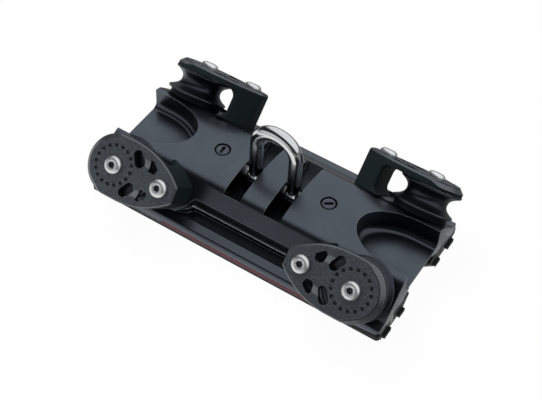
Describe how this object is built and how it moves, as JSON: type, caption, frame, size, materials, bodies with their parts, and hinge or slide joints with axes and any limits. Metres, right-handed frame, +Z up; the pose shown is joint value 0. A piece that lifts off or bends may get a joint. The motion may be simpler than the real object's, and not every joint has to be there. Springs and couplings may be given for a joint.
{
  "type": "traveller car",
  "caption": "Long low car for a sailing boat track, with a swinging bow shackle in the middle and a tilted control-line block on each corner.",
  "frame": {"origin": "middle of the underside, under the ball guides", "axes": "+X along the track, +Y across it, +Z up from the deck"},
  "size_m": [0.304, 0.1852, 0.1092],
  "materials": {
    "body_anodised": "dark grey hard-anodised, satin",
    "guide_plastic": "black moulded",
    "balls": "plain bearing plastic",
    "stainless_screws": "bright stainless",
    "polished_stainless": "polished stainless",
    "stainless_pin": "turned stainless",
    "lock_screw_dark": "dark slotted screw",
    "cheek_anodised": "dark grey anodised, fine satin",
    "base_cheek_anodised": "black anodised",
    "sheave_anodised": "black anodised, turned",
    "bearing_ring": "bearing plastic",
    "hub_steel": "ground steel"
  },
  "bodies": {
    "car": {"car_body": "body_anodised", "ball_guide_near": "guide_plastic", "ball_guide_far": "guide_plastic", "ball_row_near": "balls", "ball_row_far": "balls", "guide_screws": "stainless_screws", "shackle_pin": "stainless_pin", "pin_lock_screws": "lock_screw_dark", "block_screws": "stainless_screws", "end_turn_near_left": "guide_plastic", "end_turn_near_right": "guide_plastic", "end_turn_far_left": "guide_plastic", "end_turn_far_right": "guide_plastic", "cheek_near_left": "cheek_anodised", "cheek_near_right": "cheek_anodised", "cheek_far_left": "cheek_anodised", "cheek_far_right": "cheek_anodised", "base_cheek_near_left": "base_cheek_anodised", "base_cheek_near_right": "base_cheek_anodised", "base_cheek_far_left": "base_cheek_anodised", "base_cheek_far_right": "base_cheek_anodised", "sheave_hub_near_left": "hub_steel", "sheave_hub_near_right": "hub_steel", "sheave_hub_far_left": "hub_steel", "sheave_hub_far_right": "hub_steel"},
    "bow": {"shackle_bow": "polished_stainless"},
    "wheel_near_left": {"sheave_near_left": "sheave_anodised", "sheave_bush_near_left": "bearing_ring"},
    "wheel_near_right": {"sheave_near_right": "sheave_anodised", "sheave_bush_near_right": "bearing_ring"},
    "wheel_far_left": {"sheave_far_left": "sheave_anodised", "sheave_bush_far_left": "bearing_ring"},
    "wheel_far_right": {"sheave_far_right": "sheave_anodised", "sheave_bush_far_right": "bearing_ring"}
  },
  "joints": [
    {"name": "shackle_swing", "type": "hinge", "parent": "car", "child": "bow", "pos_m": [0, 0, 0.0385], "axis": [1, 0, 0], "range_deg": [-60, 60]},
    {"name": "sheave_spin_near_left", "type": "hinge", "parent": "car", "child": "wheel_near_left", "pos_m": [-0.12, -0.07386, 0.05696], "axis": [0, -0.7071, 0.7071], "continuous": true},
    {"name": "sheave_spin_near_right", "type": "hinge", "parent": "car", "child": "wheel_near_right", "pos_m": [0.12, -0.07386, 0.05696], "axis": [0, -0.7071, 0.7071], "continuous": true},
    {"name": "sheave_spin_far_left", "type": "hinge", "parent": "car", "child": "wheel_far_left", "pos_m": [-0.12, 0.07386, 0.05696], "axis": [0, 0.7071, 0.7071], "continuous": true},
    {"name": "sheave_spin_far_right", "type": "hinge", "parent": "car", "child": "wheel_far_right", "pos_m": [0.12, 0.07386, 0.05696], "axis": [0, 0.7071, 0.7071], "continuous": true}
  ]
}
